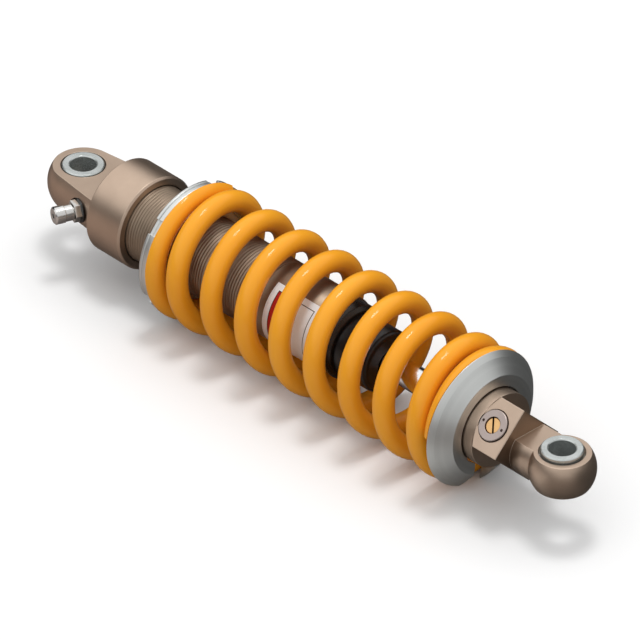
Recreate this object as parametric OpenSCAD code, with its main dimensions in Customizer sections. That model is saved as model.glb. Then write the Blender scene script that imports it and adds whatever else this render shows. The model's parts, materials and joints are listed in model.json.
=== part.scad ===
// Pit bike rear shock absorber: a gas charged damper inside a coil spring.
// X runs from the upper eye to the lower eye, Z along the eye bores, origin in the upper eye.

/* [Overall] */
// Distance between the centres of the two eyes, fully extended
eye_to_eye = 300; // [290:1:320]
// Bore of the sleeves in both eyes, for the mounting bolts
bolt_d = 12; // [9:0.1:12.4]
// Distance that the rod can travel into the damper
travel = 55; // [30:1:56]

/* [Cylinder head] */
// Radius of the rounded end around the upper bearing
upper_eye_r = 16.2; // [15.8:0.1:17.2]
// Distance from the bearing to the centre of the rounded end
upper_eye_shift = 0.2; // [0:0.1:1.2]
// Thickness of the upper eye between its two flats
upper_eye_w = 17; // [16.8:0.1:22]
// Radius of the tapered side where it meets the collar
taper_end_r = 19.1; // [17.5:0.1:21]
// Distance from the upper eye to the start of the collar
collar_x = 25.9; // [25.4:0.1:30]
// Length of the collar that holds the damper tube
collar_len = 21.1; // [17:0.1:24]
// Outer radius of the collar
collar_r = 22.6; // [20.5:0.1:23.4]
// Bevel on the open end of the collar
collar_bevel = 0.9; // [0.2:0.1:1.5]
// Distance from the start of the collar to the bottom of its socket
socket_floor = 7.1; // [6.5:0.1:9]
// Length of the plug that seals the inside of the tube
plug_len = 8; // [6:0.1:10]

/* [Gas valve] */
// Distance from the upper eye to the valve, along the damper
valve_x = 16.1; // [15.5:0.1:17.5]
// Distance from the damper axis to the flat that the valve sits on
valve_seat_y = 17; // [16.6:0.1:17.5]
// Lean of the valve towards the eye
valve_lean = 20.5; // [8:0.5:23]
// Width of the valve's hexagon across its flats
valve_hex = 8.8; // [8:0.1:10]
// Height of the valve's hexagon
valve_hex_h = 3.1; // [2:0.1:4]
// Outer diameter of the valve cap
valve_cap_d = 8.2; // [6.6:0.1:9]
// Length of the valve cap
valve_cap_len = 8.6; // [6.5:0.1:9.2]

/* [Damper tube] */
// Outer diameter of the damper tube
tube_d = 36.6; // [35.6:0.1:37.4]
// Wall of the damper tube
tube_wall = 3.3; // [2.8:0.1:3.8]
// Distance from the upper eye to the open end of the tube
tube_end_x = 165.5; // [163:0.1:170]
// Distance from the upper eye to the end of the outer thread
thread_end_x = 130; // [110:1:132]
// Pitch of the outer thread
thread_pitch = 1.5; // [1:0.25:2.5]
// Depth of the outer thread
thread_depth = 0.45; // [0.2:0.05:0.8]

/* [Label] */
// Distance from the upper eye to the label
label_x = 134.2; // [133:0.1:138]
// Length of the label along the tube
label_len = 28.5; // [20:0.1:30]
// Angle that the label covers around the tube
label_arc = 135; // [60:1:200]
// Angle of the label's upper edge
label_angle = 117; // [90:1:140]

/* [Separator piston] */
// Length of the separator
separator_len = 14; // [11:0.1:16]

/* [Main piston] */
// Distance from the upper eye to the rod side of the piston
piston_x = 140; // [138.5:0.1:141]
// Length of the main piston
piston_len = 12; // [10:0.1:13]
// Thickness of one valve shim
shim_t = 0.25; // [0.15:0.05:0.3]
// Thickness of the washer between shims and rod shoulder
washer_t = 1.5; // [1:0.1:2]
// Height of the piston nut
piston_nut_h = 6; // [5:0.1:6.5]

/* [Seal head] */
// Distance from the end of the tube to the inner face of the seal head
seal_head_depth = 14.6; // [13.6:0.1:15]
// Length of the seal head that shows outside the tube
seal_head_out = 9; // [8.4:0.1:11]
// Outer diameter of the seal head outside the tube
seal_head_d = 35.2; // [33:0.1:35.6]

/* [Bump stop] */
// Length of the bump stop
bump_len = 19.8; // [15:0.1:20.5]
// Outer diameter of the bump stop
bump_d = 29.4; // [24:0.1:34]
// Rounding of the bump stop's free edge
bump_round = 2.5; // [1:0.1:4]

/* [Preload rings] */
// Distance from the upper eye to the spring's end
spring_start_x = 74.4; // [71:0.1:80]
// Outer diameter of the rings
ring_d = 62.6; // [52:0.1:64]
// Thickness of the lock ring
lock_ring_t = 1.7; // [1.6:0.1:5]
// Thickness of the preload nut's flange
preload_nut_t = 2.7; // [1.6:0.1:5]
// Length of the nut's spigot inside the spring
nut_spigot = 6; // [3:0.1:9]
// Thickness of the thrust washer
thrust_washer_t = 0.7; // [0.5:0.1:1.5]
// Number of spanner notches in each ring
notch_count = 5; // [4:1:6]
// Width of a spanner notch
notch_w = 7.5; // [5:0.1:9]
// Depth of a spanner notch
notch_depth = 2; // [1:0.1:2.5]

/* [Spring] */
// Wire diameter
wire_d = 10; // [8:0.1:10.2]
// Mean diameter of the coils
coil_d = 55; // [53.2:0.1:56]
// Number of turns from tip to tip
coil_turns = 9.34; // [6:0.01:9.6]
// Gap between an end turn and the next turn
coil_gap = 0.4; // [0.3:0.1:4]
// Depth to which the first tip is ground flat
coil_grind = 7.4; // [5:0.1:8]
// Depth to which the last tip is ground flat
coil_end_grind = 5.7; // [5:0.1:8]
// Angle of the wire's first tip
coil_angle = 50; // [0:1:360]

/* [Spring seat] */
// Distance from the lower eye to the face that carries the spring
seat_back = 49.7; // [49:0.1:50.1]
// Outer diameter of the seat
seat_d = 64.6; // [64.4:0.1:70]
// Width of the bevel around the seat's rim
seat_bevel = 2.3; // [1:0.1:3]
// Total thickness of the seat
seat_t = 7.7; // [7.1:0.1:8.5]
// Outer diameter of the seat's flat middle
seat_mid_d = 47.5; // [41:0.1:52]
// Depth of the recess inside the boss
seat_recess = 0.5; // [0.1:0.1:1.5]
// Thickness of the web around the rod
seat_web_t = 2; // [1.5:0.1:3]
// Height of the boss that centres the spring
seat_boss_h = 3; // [1:0.1:4]
// Width of the slot that the rod passes through
seat_slot_w = 13; // [12.8:0.1:15]
// Angle of the slot
seat_slot_angle = 259.5; // [240:0.5:300]

/* [Rod] */
// Diameter of the chromed rod
rod_d = 12; // [11.6:0.1:12.4]
// Diameter of the rod's stud that carries the piston
stud_d = 8; // [7:0.1:9]
// Diameter of the bore through the rod
rod_bore = 4; // [3.6:0.1:4.4]

/* [Rod eye] */
// Radius of the ball shaped end around the lower bearing
lower_eye_r = 14.9; // [14.6:0.1:15.5]
// Distance from the bearing to the centre of the ball shaped end
lower_eye_shift = 0.4; // [0:0.1:0.6]
// Thickness of the lower eye and its neck between their flats
lower_eye_w = 16; // [15.6:0.1:17]
// Diameter of the round base against the seat
base_d = 35.2; // [34:0.1:35.8]
// Length of the round base
base_len = 10.3; // [9.6:0.1:11]
// Length of the milled block with the adjuster
block_len = 17.1; // [16.4:0.1:17.6]
// Width of the milled block
block_w = 24.4; // [22:0.1:26]
// Distance from the damper axis to the block's flat
block_flat = 16.9; // [16.4:0.1:17.4]
// Diameter of the neck
neck_d = 23.6; // [21:0.1:25]

/* [Adjuster] */
// Distance from the lower eye to the adjuster
adjuster_back = 29.6; // [29.2:0.1:30]
// Diameter of the adjuster's retaining ring
adjuster_ring_d = 14.2; // [13:0.1:14.6]
// Diameter of the slotted adjuster screw
adjuster_screw_d = 7.2; // [6.4:0.1:7.6]
// Width of the screwdriver slot
adjuster_slot_w = 0.9; // [0.6:0.1:1.4]
// Direction of the screwdriver slot
adjuster_slot_angle = 123; // [0:1:180]

/* [Eye bearings] */
// Outer radius of the bearing race
race_r = 11.8; // [11.4:0.05:12]
// Width of the bearing race
race_w = 9; // [8.4:0.1:9.2]
// Radius of the bearing's ball
ball_r = 9.4; // [9.2:0.05:9.6]
// Width of the bearing's ball
ball_w = 9.6; // [9.4:0.1:9.9]
// Wall of the sleeves inside the ball
sleeve_wall = 0.98; // [0.8:0.02:1.1]
// Length of the upper sleeves, end to end
upper_sleeve_len = 18; // [17.6:0.1:24]
// Outer radius of the upper sleeves' flanges
upper_flange_r = 9.6; // [9.1:0.05:9.65]
// Length of the lower sleeves, end to end
lower_sleeve_len = 20.2; // [17:0.1:24]
// Outer radius of the lower sleeves' flanges
lower_flange_r = 9.4; // [9.1:0.05:9.6]

/* [Fits] */
// Radial clearance of a sliding or turning fit
running_fit = 0.05; // [0.03:0.01:0.08]
// Gap between two faces that rest on each other
seat_gap = 0.1; // [0.05:0.01:0.15]
// Gap around the lug hole that lets a sleeve tilt
tilt_gap = 0.6; // [0.55:0.05:0.9]

/* [Hidden] */
$fn = 96;

bronze = "#8a7466";
dark_bronze = "#6e5a4d";
silver = "#c4c6c4";
steel = "#9a9c9d";
yellow = "#f9a51a";
black = "#1d1b1a";
brass = "#dcb070";

tube_r = tube_d / 2;
bore_r = tube_r - tube_wall;
rod_r = rod_d / 2;
stud_r = stud_d / 2;
wire_r = wire_d / 2;
coil_r = coil_d / 2;

// Head and tube
collar_end_x = collar_x + collar_len;
socket_x = collar_x + socket_floor;
tube_start_x = socket_x + seat_gap;
plug_end_x = socket_x + plug_len;
collar_relief_w = 3;
collar_relief = 0.6;
thread_start_x = collar_end_x + 0.5;
thread_turns = floor((thread_end_x - thread_start_x) / thread_pitch);
tube_bevel = 0.6;
label_t = 0.15;
oring_d = 2.4;
oring_squeeze = 0.02;
head_oring_x = socket_x + plug_len / 2;
taper_run = collar_x - upper_eye_shift;
taper_slope = acos(upper_eye_r / norm([taper_run, taper_end_r])) - atan(taper_run / taper_end_r);

// Gas valve, measured along its own axis from the flat that it sits on
valve_pocket_r = valve_hex / 2 / cos(30) + 0.75;
valve_depth = 8;
valve_thread_r = 2.6;
valve_bore_r = 1.6;
valve_pin_r = 0.5;
valve_seal_t = 0.6;
valve_hex_z = valve_seal_t + 0.04;
valve_top = valve_hex_z + valve_hex_h;
valve_neck_r = 2.4;
valve_neck_h = 3.6;
valve_cap_z = valve_top + 0.4;
valve_cap_step = 0.3;
gas_port_r = 1.5;
gas_port_depth = valve_depth + 1;
gas_port_x = valve_x + gas_port_depth * sin(valve_lean) + 0.3;
gas_port_y = valve_seat_y - gas_port_depth * cos(valve_lean);

// Piston and separator
shim_stack = 3 * shim_t + 0.08;
shim_r = 0.77 * bore_r;
shim_step = 0.1 * bore_r;
port_circle_r = 0.6 * bore_r;
port_r = 0.1 * bore_r;
band_t = 1.55;
band_inset = 2.5;
piston_x0 = piston_x - piston_len;
shoulder_x = piston_x + shim_stack + washer_t + 2 * seat_gap;
nut_x = piston_x0 - shim_stack - seat_gap - piston_nut_h;
stud_end_x = nut_x - 1;
piston_gap = 0.35;
oil_share = 1 - pow(rod_r / bore_r, 2);
separator_x = stud_end_x - travel * oil_share - 1.9;
separator_x0 = separator_x - separator_len;
separator_oring_x = separator_x0 + 4;
separator_band_x = separator_x - 5;
separator_band_len = 3;

// Seal head
seal_head_x = tube_end_x - seal_head_depth;
seal_head_end_x = tube_end_x + seal_head_out;
bumper_end_x = seal_head_x - 3 * seat_gap;
bushing_len = 12;
seal_x = tube_end_x + 0.6;
seal_len = 3.4;
clip_x = seal_x + seal_len + seat_gap;
clip_t = 0.8;
wiper_x = clip_x + clip_t + seat_gap;

// Bump stop
bump_x = seal_head_end_x + seat_gap;
bump_bore_r = rod_r + 0.6;

// Rings and spring
washer_x = spring_start_x - thrust_washer_t - running_fit;
nut_flange_x = washer_x - preload_nut_t - running_fit;
lock_ring_x = nut_flange_x - lock_ring_t - running_fit;
ring_r = ring_d / 2;
ring_bevel = 0.4;
spigot_r = coil_r - wire_r - 0.7;
seat_x = eye_to_eye - seat_back;
spring_end_x = seat_x - running_fit;
rings_per_turn = 24;
wire_sides = 6;
first_lift = wire_r - coil_grind;
last_lift = wire_r - coil_end_grind;
end_rise = wire_d + coil_gap;
coil_span = spring_end_x - spring_start_x - first_lift - last_lift;
coil_pitch = (coil_span - 2 * end_rise) / (coil_turns - 2);
pitch_blend = 0.5;

// Spring seat and rod eye
seat_r = seat_d / 2;
seat_mid_r = seat_mid_d / 2;
base_r = base_d / 2;
seat_bore_r = base_r + 0.8;
seat_dish = 0.4;
seat_web_x = seat_x + seat_recess;
base_x = seat_web_x + seat_web_t + seat_gap;
base_end_x = base_x + base_len;
block_end_x = base_end_x + block_len;
block_corner_r = sqrt(pow(block_flat, 2) + pow(block_w / 2, 2)) + 1;
neck_r = neck_d / 2;
rod_end_x = base_x + 11;
rod_socket_x = rod_end_x + seat_gap;

// Adjuster, measured from the damper axis along its own axis
adjuster_x = eye_to_eye - adjuster_back;
adjuster_ring_r = adjuster_ring_d / 2;
adjuster_pocket_r = adjuster_ring_r + 0.4;
adjuster_pocket_z = block_flat - 7.4;
adjuster_ring_top = block_flat + 0.9;
adjuster_step_z = block_flat - 4.4;
adjuster_head_r = adjuster_screw_d / 2;
adjuster_head_top = adjuster_ring_top - 0.6;
adjuster_flange_r = adjuster_head_r + 1.2;
adjuster_flange_t = 2.8;
adjuster_slot_depth = 1.2;
adjuster_shank_r = 1.5;
adjuster_shank_end = -3;
adjuster_bottom = -4.4;
pin_hole_r = 0.65;
pin_hole_place = adjuster_ring_r - 1.7;
wedge_r = 3.6;
wedge_low = -3.2;
wedge_top = 1.7;
wedge_angle = 30;
wedge_face = 2.6;
needle_r = rod_bore / 2 - 2 * running_fit;
needle_gap = 0.03;
needle_tip = (wedge_face * cos(wedge_angle) + needle_r + needle_gap) / cos(wedge_angle);
needle_x = shoulder_x + 3;
needle_end_x = adjuster_x - needle_tip;
needle_oring_x = base_x + 6;

// Eye bearings
sleeve_bore_r = bolt_d / 2;
sleeve_r = sleeve_bore_r + sleeve_wall;
ball_bore_r = sleeve_r + 0.02;
ball_fit = 0.05;
race_fit = 0.02;
neck_step_r = sleeve_r + 0.62;
flange_z = ball_w / 2 + 1.6;
circlip_t = 1;
circlip_z = race_w / 2 + 0.8;
circlip_depth = 0.5;
sleeve_bevel = 0.5;

// A body turned about the damper axis from points given as [distance along X, radius]
module turned(points) {
    rotate([0, 90, 0])
        rotate_extrude()
            polygon([for (p = points) [p[1], p[0]]]);
}

// A plain ring about the damper axis
module ring_x(x0, x1, r_in, r_out) {
    turned([[x0, r_in], [x1, r_in], [x1, r_out], [x0, r_out]]);
}

// A ring about the damper axis with both outer edges bevelled
module bevelled_ring(x0, x1, r_in, r_out, bevel) {
    turned([[x0, r_in], [x1, r_in], [x1, r_out - bevel], [x1 - bevel, r_out],
            [x0 + bevel, r_out], [x0, r_out - bevel]]);
}

// A round seal about the damper axis
module oring_x(x, r, section) {
    translate([x, 0, 0])
        rotate([0, 90, 0])
            rotate_extrude()
                translate([r, 0])
                    circle(d = section, $fn = 32);
}

// A round bar along X
module bar_x(x0, x1, r) {
    translate([x0, 0, 0])
        rotate([0, 90, 0])
            cylinder(h = x1 - x0, r = r);
}

// A plate between two flats that face up and down
module slab(x0, x1, thickness) {
    translate([x0, -40, -thickness / 2])
        cube([x1 - x0, 80, thickness]);
}

// The hole that takes a bearing: a lip at the top, a seat and a clip groove below
module bearing_hole(flange_r) {
    translate([0, 0, -30])
        cylinder(h = 30 + race_w / 2 + seat_gap, r = race_r + race_fit);
    translate([0, 0, race_w / 2])
        cylinder(h = 30, r = flange_r + tilt_gap);
    translate([0, 0, -circlip_z - circlip_t - seat_gap])
        cylinder(h = circlip_t + 2 * seat_gap, r = race_r + circlip_depth + running_fit);
}

module bearing_race() {
    difference() {
        translate([0, 0, -race_w / 2])
            cylinder(h = race_w, r = race_r);
        sphere(r = ball_r + ball_fit);
    }
}

module bearing_ball() {
    difference() {
        intersection() {
            sphere(r = ball_r);
            translate([0, 0, -ball_w / 2])
                cylinder(h = ball_w, r = ball_r + 1);
        }
        translate([0, 0, -ball_w])
            cylinder(h = 2 * ball_w, r = ball_bore_r);
    }
}

// The open ring that keeps the race in its hole
module bearing_circlip(flange_r) {
    translate([0, 0, -circlip_z - circlip_t])
        difference() {
            cylinder(h = circlip_t, r = race_r + circlip_depth);
            translate([0, 0, -1])
                cylinder(h = circlip_t + 2, r = flange_r + tilt_gap + 0.1);
            translate([0, -2, -1])
                cube([race_r + 2, 4, circlip_t + 2]);
        }
}

// One of the two flanged sleeves that line the ball, the upper one
module bearing_sleeve(length, flange_r) {
    half = length / 2;
    rotate_extrude()
        polygon([[sleeve_bore_r, seat_gap / 2], [sleeve_r, seat_gap / 2],
                 [sleeve_r, ball_w / 2 + seat_gap / 2], [neck_step_r, ball_w / 2 + seat_gap / 2],
                 [neck_step_r, flange_z], [flange_r, flange_z],
                 [flange_r, half - sleeve_bevel], [flange_r - sleeve_bevel, half],
                 [sleeve_bore_r + sleeve_bevel, half], [sleeve_bore_r, half - sleeve_bevel]]);
}

// Moves a shape drawn on the Z axis onto the gas valve's axis
module at_valve() {
    translate([valve_x, -valve_seat_y, 0])
        rotate([0, 0, -valve_lean])
            rotate([90, 0, 0])
                children();
}

// The rounded end of the upper eye and the taper that runs from it into the collar.
// A tiny flat at the tip keeps the ball's pole out of the surface.
module rounded_taper() {
    tip_x = upper_eye_shift - upper_eye_r + 0.01;
    touch_x = upper_eye_shift - upper_eye_r * sin(taper_slope);
    touch_r = upper_eye_r * cos(taper_slope);
    rotate([0, 90, 0])
        rotate_extrude()
            intersection() {
                union() {
                    translate([0, upper_eye_shift])
                        circle(r = upper_eye_r);
                    polygon([[0, touch_x], [touch_r, touch_x],
                             [taper_end_r + tan(taper_slope), collar_x + 1], [0, collar_x + 1]]);
                }
                translate([0, tip_x])
                    square([2 * upper_eye_r, collar_x + 1 - tip_x]);
            }
}

module cylinder_head() {
    color(bronze)
    difference() {
        union() {
            intersection() {
                rounded_taper();
                slab(-upper_eye_r - 1, collar_x + 2, upper_eye_w);
            }
            turned([[collar_x, 0], [collar_x, collar_r - 0.5], [collar_x + 0.5, collar_r],
                    [collar_end_x - collar_bevel, collar_r], [collar_end_x, collar_r - collar_bevel],
                    [collar_end_x, 0]]);
        }
        difference() {
            bar_x(socket_x, collar_end_x + 1, tube_r + running_fit);
            turned([[socket_x - 1, 0], [plug_end_x, 0], [plug_end_x, bore_r - 1],
                    [plug_end_x - 1, bore_r - running_fit], [socket_x - 1, bore_r - running_fit]]);
        }
        bar_x(collar_end_x - collar_relief_w, collar_end_x + 1, tube_r + collar_relief);
        ring_x(head_oring_x - oring_d * 0.6, head_oring_x + oring_d * 0.6,
               bore_r - oring_d - 2 * oring_squeeze, bore_r + 0.5);
        bearing_hole(upper_flange_r);
        at_valve() {
            cylinder(h = 10, r = valve_pocket_r);
            translate([0, 0, -valve_depth])
                cylinder(h = valve_depth + 1, r = valve_thread_r + running_fit);
            translate([0, 0, -gas_port_depth - 1])
                cylinder(h = 3, r = gas_port_r);
        }
        translate([0, -gas_port_y, 0])
            bar_x(gas_port_x, plug_end_x + 1, gas_port_r - 0.4);
    }
}

module head_oring() {
    color(black)
        oring_x(head_oring_x, bore_r - oring_d / 2 - oring_squeeze, oring_d);
}

module body_tube() {
    color(dark_bronze)
    difference() {
        turned(concat(
            [[tube_start_x, 0], [tube_start_x, tube_r], [thread_start_x, tube_r]],
            [for (i = [0:thread_turns - 1], j = [0:1])
                [thread_start_x + (i + (j + 1) / 2) * thread_pitch,
                 tube_r - (j == 0 ? thread_depth : 0)]],
            [[tube_end_x - tube_bevel, tube_r], [tube_end_x, tube_r - tube_bevel],
             [tube_end_x, 0]]));
        bar_x(tube_start_x - 1, tube_end_x + 1, bore_r);
    }
}

module body_label() {
    color("white")
        rotate([label_angle, 0, 0])
            rotate([0, 90, 0])
                rotate([0, 0, 90])
                    rotate_extrude(angle = label_arc)
                        translate([tube_r + 0.02, label_x])
                            square([label_t, label_len]);
}

module gas_valve_body() {
    color(silver)
        at_valve()
            difference() {
                union() {
                    translate([0, 0, valve_hex_z])
                        cylinder(h = valve_hex_h, r = valve_hex / 2 / cos(30), $fn = 6);
                    translate([0, 0, -valve_depth])
                        cylinder(h = valve_depth + 1, r = valve_thread_r);
                    translate([0, 0, valve_top - 1])
                        cylinder(h = valve_neck_h + 1, r = valve_neck_r);
                }
                translate([0, 0, -valve_depth - 1])
                    cylinder(h = valve_depth + valve_top + valve_neck_h + 2, r = valve_bore_r);
            }
}

// The flat rubber seal under the valve's hexagon
module gas_valve_seal() {
    color(black)
        at_valve()
            difference() {
                translate([0, 0, 0.02])
                    cylinder(h = valve_seal_t, r = valve_pocket_r - 0.1);
                translate([0, 0, -1])
                    cylinder(h = valve_seal_t + 2, r = valve_thread_r + running_fit);
            }
}

module gas_valve_core() {
    color(brass)
        at_valve() {
            translate([0, 0, -valve_depth + 2])
                cylinder(h = valve_depth - 2 + valve_top, r = valve_bore_r - running_fit);
            translate([0, 0, valve_top - 1])
                cylinder(h = valve_neck_h, r = valve_pin_r);
        }
}

module gas_valve_cap() {
    cap_r = valve_cap_d / 2;
    z0 = valve_cap_z;
    z1 = z0 + valve_cap_len;
    step_z = z0 + valve_cap_len * 0.42;
    color(silver)
        at_valve()
            difference() {
                rotate_extrude()
                    polygon([[0, z0], [cap_r - valve_cap_step, z0], [cap_r - valve_cap_step, step_z],
                             [cap_r, step_z + 0.3], [cap_r, z1 - 0.6], [cap_r - 0.6, z1], [0, z1]]);
                translate([0, 0, z0 - 1])
                    cylinder(h = valve_neck_h + 1.4, r = valve_neck_r + running_fit);
                translate([0, 0, z1 - 1.6])
                    cylinder(h = 2, r = 1.3, $fn = 6);
            }
}

module separator_piston() {
    color(silver)
    difference() {
        bevelled_ring(separator_x0, separator_x, 0, bore_r - running_fit, 0.6);
        turned([[separator_x0 - 1, 0], [separator_x - 4, 0], [separator_x - 6, 6],
                [separator_x0 + 1, 10.5], [separator_x0 - 1, 10.5]]);
        ring_x(separator_oring_x - oring_d * 0.6, separator_oring_x + oring_d * 0.6,
               bore_r - oring_d - 2 * oring_squeeze, bore_r + 0.5);
        ring_x(separator_band_x - running_fit,
               separator_band_x + separator_band_len + running_fit,
               bore_r - band_t - running_fit, bore_r + 0.5);
    }
}

module separator_oring() {
    color(black)
        oring_x(separator_oring_x, bore_r - oring_d / 2 - oring_squeeze, oring_d);
}

module separator_band() {
    color("#3b5a4a")
        ring_x(separator_band_x, separator_band_x + separator_band_len,
               bore_r - band_t, bore_r - 0.02);
}

module seal_head() {
    color(black)
    difference() {
        turned([[seal_head_x, rod_r + 1.5], [seal_head_x, bore_r - 1],
                [seal_head_x + 1, bore_r - running_fit],
                [tube_end_x + running_fit, bore_r - running_fit],
                [tube_end_x + running_fit, seal_head_d / 2],
                [seal_head_end_x - 1.6, seal_head_d / 2],
                [seal_head_end_x, seal_head_d / 2 - 1.6], [seal_head_end_x, rod_r + 1.5]]);
        bar_x(seal_head_x - 1, seal_head_x + 0.4, rod_r + 0.5);
        bar_x(seal_x - seat_gap, seal_head_end_x + 1, rod_r + 3);
        ring_x(clip_x - seat_gap / 2, clip_x + clip_t + seat_gap / 2, rod_r + 2, rod_r + 3.6);
        ring_x(seal_head_x + 5 - oring_d * 0.6, seal_head_x + 5 + oring_d * 0.6,
               bore_r - oring_d - 2 * oring_squeeze, bore_r + 0.5);
    }
}

module seal_head_oring() {
    color(black)
        oring_x(seal_head_x + 5, bore_r - oring_d / 2 - oring_squeeze, oring_d);
}

module rod_bushing() {
    color(brass)
        ring_x(seal_x - seat_gap * 2 - bushing_len, seal_x - seat_gap * 2,
               rod_r + running_fit, rod_r + 1.5 - 0.02);
}

module rod_seal() {
    color("#27445a")
        turned([[seal_x, rod_r + 1.2], [seal_x + 1.2, rod_r + 1.2], [seal_x, rod_r + running_fit],
                [seal_x + seal_len, rod_r + running_fit], [seal_x + seal_len, rod_r + 2.95],
                [seal_x, rod_r + 2.95]]);
}

module seal_clip() {
    color(steel)
        difference() {
            ring_x(clip_x, clip_x + clip_t, rod_r + 0.8, rod_r + 3.5);
            translate([clip_x - 1, 0, -1.5])
                cube([clip_t + 2, rod_r + 5, 3]);
        }
}

module rod_wiper() {
    color(black)
        turned([[wiper_x, rod_r + running_fit], [seal_head_end_x - 0.4, rod_r + running_fit],
                [seal_head_end_x - 0.4, rod_r + 1.2], [seal_head_end_x - 1.2, rod_r + 2.95],
                [wiper_x, rod_r + 2.95]]);
}

module bump_stop() {
    bump_r = bump_d / 2;
    end_x = bump_x + bump_len;
    color(black)
        rotate([0, 90, 0])
            rotate_extrude() {
                difference() {
                    translate([bump_bore_r, bump_x])
                        square([bump_r - bump_bore_r, bump_len]);
                    translate([bump_r - bump_round, end_x - bump_round])
                        square(bump_round + 1);
                }
                translate([bump_r - bump_round, end_x - bump_round])
                    circle(r = bump_round, $fn = 48);
            }
}

// Notches for the hook spanner, cut into the rim of a ring
module notches(x0, x1) {
    for (i = [0:notch_count - 1])
        rotate([138 + i * 360 / notch_count, 0, 0])
            translate([x0 - 1, ring_r - notch_depth, -notch_w / 2])
                cube([x1 - x0 + 2, notch_depth + 2, notch_w]);
}

module lock_ring() {
    x1 = lock_ring_x + lock_ring_t;
    color(silver)
        difference() {
            bevelled_ring(lock_ring_x, x1, tube_r + running_fit, ring_r, ring_bevel);
            notches(lock_ring_x, x1);
        }
}

module preload_nut() {
    x1 = nut_flange_x + preload_nut_t;
    color(silver)
        difference() {
            union() {
                bevelled_ring(nut_flange_x, x1, tube_r + running_fit, ring_r, ring_bevel);
                ring_x(x1 - 0.5, spring_start_x + nut_spigot, tube_r + running_fit, spigot_r - 0.5);
            }
            notches(nut_flange_x, x1);
        }
}

module thrust_washer() {
    color(steel)
        ring_x(washer_x, washer_x + thrust_washer_t, spigot_r - 0.4, ring_r);
}

// Turns past the first one, with a soft start where the pitch changes
function past_end_turn(turn) =
    let (u = turn - 1 + pitch_blend / 2)
    u < 0 ? 0 : u > pitch_blend ? turn - 1 : u * u / pitch_blend / 2;

// Distance along X of the wire's centre after a number of turns from the first tip
function wire_rise(turn) =
    turn > coil_turns / 2 ? coil_span - wire_rise(coil_turns - turn)
    : end_rise * turn + (coil_pitch - end_rise) * past_end_turn(turn);

// One ring of points around the wire, cut flat at the ground ends.
// A point beyond the cut moves to it, within the width that the wire has there.
function wire_ring(turn) =
    let (angle = coil_angle + 360 * turn,
         centre_x = spring_start_x + first_lift + wire_rise(turn),
         depth = min(centre_x - spring_start_x, spring_end_x - centre_x),
         cut_w = abs(depth) < wire_r ? sqrt(wire_r * wire_r - depth * depth) : wire_r)
    [for (k = [0:wire_sides - 1])
        let (side = 360 * k / wire_sides,
             x = centre_x + wire_r * sin(side),
             cut = x < spring_start_x || x > spring_end_x,
             out = wire_r * cos(side),
             r = coil_r + (cut ? min(max(out, -cut_w), cut_w) : out))
        [min(max(x, spring_start_x), spring_end_x), r * cos(angle), r * sin(angle)]];

ring_total = ceil(coil_turns * rings_per_turn);
wire_rings = [for (i = [0:ring_total]) wire_ring(coil_turns * i / ring_total)];

// Least distance between a ring of points and the rings one turn further along
wire_gap = min([
    for (i = [0:ring_total - rings_per_turn], step = [-1:1])
        let (j = min(i + rings_per_turn + step, ring_total))
        for (p = wire_rings[i], q = wire_rings[j]) norm(p - q)]);
echo(least_spring_gap = wire_gap);

module coil_spring() {
    points = [for (ring = wire_rings, p = ring) p];
    sides = wire_sides;
    last = ring_total * sides;
    color(yellow)
        polyhedron(points = points, faces = concat(
            [for (i = [0:ring_total - 1], k = [0:sides - 1])
                [i * sides + k, (i + 1) * sides + k, (i + 1) * sides + (k + 1) % sides]],
            [for (i = [0:ring_total - 1], k = [0:sides - 1])
                [i * sides + k, (i + 1) * sides + (k + 1) % sides, i * sides + (k + 1) % sides]],
            [for (k = [1:sides - 2]) [0, k, k + 1]],
            [for (k = [1:sides - 2]) [last, last + k + 1, last + k]]));
}

module spring_seat() {
    end_x = seat_x + seat_t;
    boss_r = spigot_r - 0.4;
    color(silver)
        difference() {
            turned([[seat_x - seat_boss_h, 0], [seat_x - seat_boss_h, boss_r - 1],
                    [seat_x - seat_boss_h + 1, boss_r], [seat_x, boss_r],
                    [seat_x, seat_r - 0.3], [seat_x + 0.3, seat_r],
                    [seat_x + 0.3 + seat_bevel, seat_r - seat_bevel], [end_x, seat_mid_r],
                    [end_x - seat_dish, seat_bore_r], [end_x - seat_dish, 0]]);
            bar_x(seat_web_x + seat_web_t, end_x + 1, seat_bore_r);
            bar_x(seat_x - seat_boss_h - 1, seat_web_x, boss_r - 4);
            bar_x(seat_x - 1, end_x + 1, seat_slot_w / 2 + 0.4);
            rotate([seat_slot_angle, 0, 0])
                translate([seat_x - seat_boss_h - 1, 0, -seat_slot_w / 2])
                    cube([seat_t + seat_boss_h + 2, seat_r + 1, seat_slot_w]);
        }
}

module piston_rod() {
    color("#d8dadb")
    difference() {
        turned([[stud_end_x, 0], [stud_end_x, stud_r - 0.5], [stud_end_x + 0.5, stud_r],
                [shoulder_x, stud_r], [shoulder_x, rod_r], [rod_end_x - 0.5, rod_r],
                [rod_end_x, rod_r - 0.5], [rod_end_x, 0]]);
        bar_x(stud_end_x - 1, rod_end_x + 1, rod_bore / 2);
        for (a = [0, 90])
            translate([shoulder_x + 1.6, 0, 0])
                rotate([a, 0, 0])
                    cylinder(h = rod_d + 2, r = 0.8, center = true);
    }
}

module main_piston() {
    color(silver)
    difference() {
        bevelled_ring(piston_x0, piston_x, stud_r + running_fit, bore_r - piston_gap, 0.5);
        ring_x(piston_x0 + band_inset - running_fit, piston_x - band_inset + running_fit,
               bore_r - band_t - running_fit, bore_r + 0.5);
        for (a = [0:60:300])
            rotate([a, 0, 0])
                translate([0, port_circle_r, 0])
                    bar_x(piston_x0 - 1, piston_x + 1, port_r);
    }
}

module piston_band() {
    color("#3b5a4a")
        ring_x(piston_x0 + band_inset, piston_x - band_inset,
               bore_r - band_t, bore_r - running_fit);
}

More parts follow.
